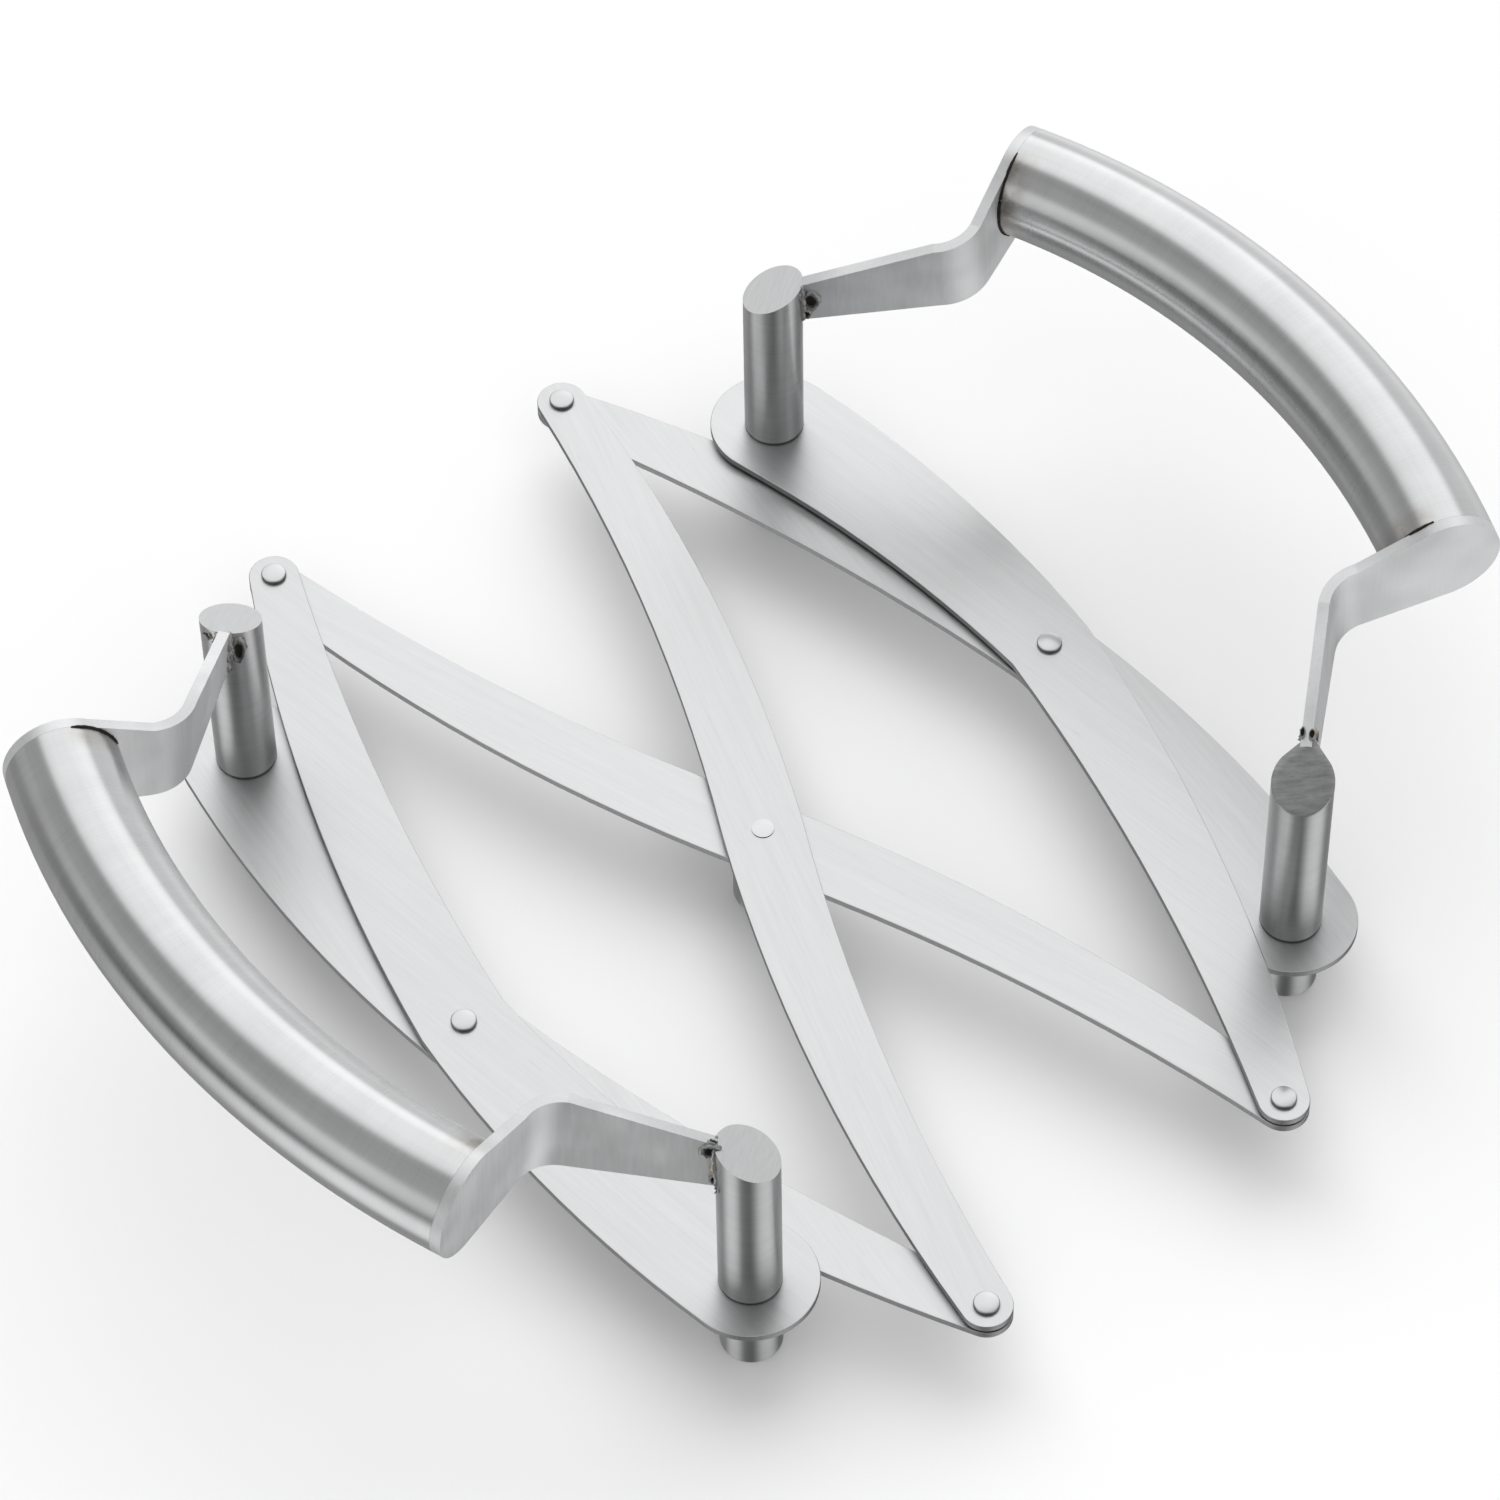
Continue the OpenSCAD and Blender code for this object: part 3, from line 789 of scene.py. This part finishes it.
def strip_beads(tag, sx, sy, body):
    """Weld beads where both flat sides of the strip meet the post."""
    for face, letter, rise in BEAD_FACES:
        aside = face * (STRIP_T / 2 + BEAD_OFF)
        points = []
        for i in range(BEAD_STEPS + 1):
            level = BEAD_LOW + rise * i / BEAD_STEPS
            wander = lump(Vector((level, sx * 0.3 + face * 0.2, sy * 0.7)), WANDER_SIZE, WANDER)
            along = post_skin(aside, level) + wander
            points.append(mirrored(leg_point(along, aside, level), sx, sy))
        bead("weld_%s_%s" % (tag, letter), points, BEAD_RADIUS, BEAD_ROUGH, WELD, body)


def side_pits(tag, sx, sy, body):
    """Blow holes in the beads, facing out of the strip's flat sides."""
    up = Vector((-TILT_S * sx, 0.0, TILT_C))
    for k, (face, away, level, half_w, half_h) in enumerate(PITS[tag]):
        aside = face * (STRIP_T / 2 + PIT_OFF)
        at = mirrored(leg_point(post_skin(aside, level) + away, aside, level), sx, sy)
        out = strip_side(sx, sy) * face
        crater("pit_%s_%d" % (tag, k), at, out, up, half_w, half_h, WELD, body)


def edge_pits(tag, sx, sy, body):
    """Blow holes in the upper edge of the strip."""
    for k, (along, aside, half_w, half_h) in enumerate(EDGE_PITS.get(tag, ())):
        at = top_edge(along, aside)
        way = mirrored(top_edge(along + 1, aside) - at, sx, sy).normalized()
        out = way.cross(strip_side(sx, sy))
        out = out if out.z > 0 else -out
        at = mirrored(at, sx, sy) + out * EDGE_OFF
        crater("edge_%s_%d" % (tag, k), at, out, way, half_w, half_h, WELD, body)


def skin_pits(tag, sx, sy, body):
    """Blow holes in the post's side."""
    for k, (turn, z, half_w, half_h) in enumerate(SKIN_PITS.get(tag, ())):
        a = math.radians(turn)
        out = mirrored(LEG * math.cos(a) + ACROSS * math.sin(a), sx, sy)
        at = Vector((POST_X * sx, POST_Y * sy, z)) + out * (POST_R + SKIN_OFF)
        crater("skin_%s_%d" % (tag, k), at, out, UPWARD, half_w, half_h, WELD, body)


def tube_seam_shadow(tag, sx, sy, body):
    """Painted shadow in the open joint between the tube's end and the strip: a near-black bead."""
    first, last = SEAMS[tag]
    points = []
    for i in range(SEAM_STEPS + 1):
        phi = math.radians(first + (last - first) * i / SEAM_STEPS)
        out = GRIP_BEND + SEAM_OUT * math.cos(phi)
        u = out * END_C - GRIP_BEND + SEAM_IN * END_S
        v = out * END_S - SEAM_IN * END_C
        points.append(mirrored(from_grip(u, v, SEAM_OUT * math.sin(phi)), sx, sy))
    bead("seam_" + tag, points, SEAM_RADIUS, SEAM_ROUGH, GAP_SHADOW, body)


for tag, side, sx, sy, arm_top, end in CORNERS:
    body = {"body": side + "_handle", "slot": "bracket_" + tag}
    strip_beads(tag, sx, sy, body)
    side_pits(tag, sx, sy, body)
    edge_pits(tag, sx, sy, body)
    skin_pits(tag, sx, sy, body)
    tube_seam_shadow(tag, sx, sy, body)

# ground point over the right front post: distance of its tip from the post's axis
POINT_TIP = 0.0085
# how far its rim lies inside the post's side, and its upper face above the post's top
POINT_INSET, POINT_RAISE = 0.00002, 0.00024
# rows down its rounded rim: drop and inset
POINT_RIM = ((0.0, 0.00012), (0.00007, 0.00003), (0.0002, 0.0), (0.0006, 0.0))
# rows of its underside: drop at the tip and share of the overhang left
POINT_UNDER = ((0.0012, 0.85), (0.0040, 0.0))
# where the underside meets the post: inwards from the rim, and below the upper face
UNDER_IN, UNDER_DROP = 0.0003, 0.0009
# depth of its middle below the post's top, and the share by which its tip is blunted
POINT_DEPTH, TIP_CUT = 0.0008, 0.12
POINT_SIDES = 96


def teardrop(name, sx, sy, material, body):
    """Ground weld that draws the top of a post out to a point over the end of its strip."""
    bm = bmesh.new()
    reach = POST_R - POINT_INSET
    top = POST_TOP + POINT_RAISE
    half = math.acos(reach / POINT_TIP)
    angles = [-math.pi + 2 * math.pi * k / POINT_SIDES for k in range(POINT_SIDES)]

    def outline(ang):
        """Radius of the outline, and how far it is drawn out from 0 to 1."""
        if abs(ang) >= half:
            return reach, 0.0
        r = reach / math.cos(abs(ang) - half)
        pull = max(0.0, (r - reach) / (POINT_TIP - reach))
        return reach + (r - reach) * (1 - TIP_CUT * pull), pull

    def corner(ang, d, z):
        way = LEG * math.cos(ang) + ACROSS * math.sin(ang)
        p = Vector((POST_X, POST_Y, 0)) + way * d
        return bm.verts.new((p.x * sx, p.y * sy, z))

    loops = []
    for drop, inset in POINT_RIM:
        loop = []
        for ang in angles:
            d = outline(ang)[0] - inset
            loop.append(corner(ang, d, top + POST_SLOPE * d * math.cos(ang) - drop))
        loops.append(loop)
    for drop, share in POINT_UNDER:
        loop = []
        for ang in angles:
            r, pull = outline(ang)
            z = top + POST_SLOPE * r * math.cos(ang) - UNDER_DROP - drop * pull ** 0.5
            overhang = (r - reach + UNDER_IN) * share if pull > 0 else 0.0
            loop.append(corner(ang, reach - UNDER_IN + overhang, z))
        loops.append(loop)
    join_rings(bm, loops)
    middle_x, middle_y = POST_X * sx, POST_Y * sy
    face = [loops[0]]
    for share in (0.75, 0.5, 0.25):
        face.append([bm.verts.new((middle_x + (v.co.x - middle_x) * share,
                                   middle_y + (v.co.y - middle_y) * share,
                                   top + (v.co.z - top) * share)) for v in loops[0]])
    join_rings(bm, face)
    close_ring(bm, face[-1], bm.verts.new((middle_x, middle_y, top)))
    close_ring(bm, loops[-1], bm.verts.new((middle_x, middle_y, POST_TOP - POINT_DEPTH)))
    return new_piece(name, bm, material, body)


teardrop("weld_point_right_front", 1, -1, NODES["post_right_front"].data.materials[0],
         {"body": "right_handle", "slot": "bracket_right_front"})
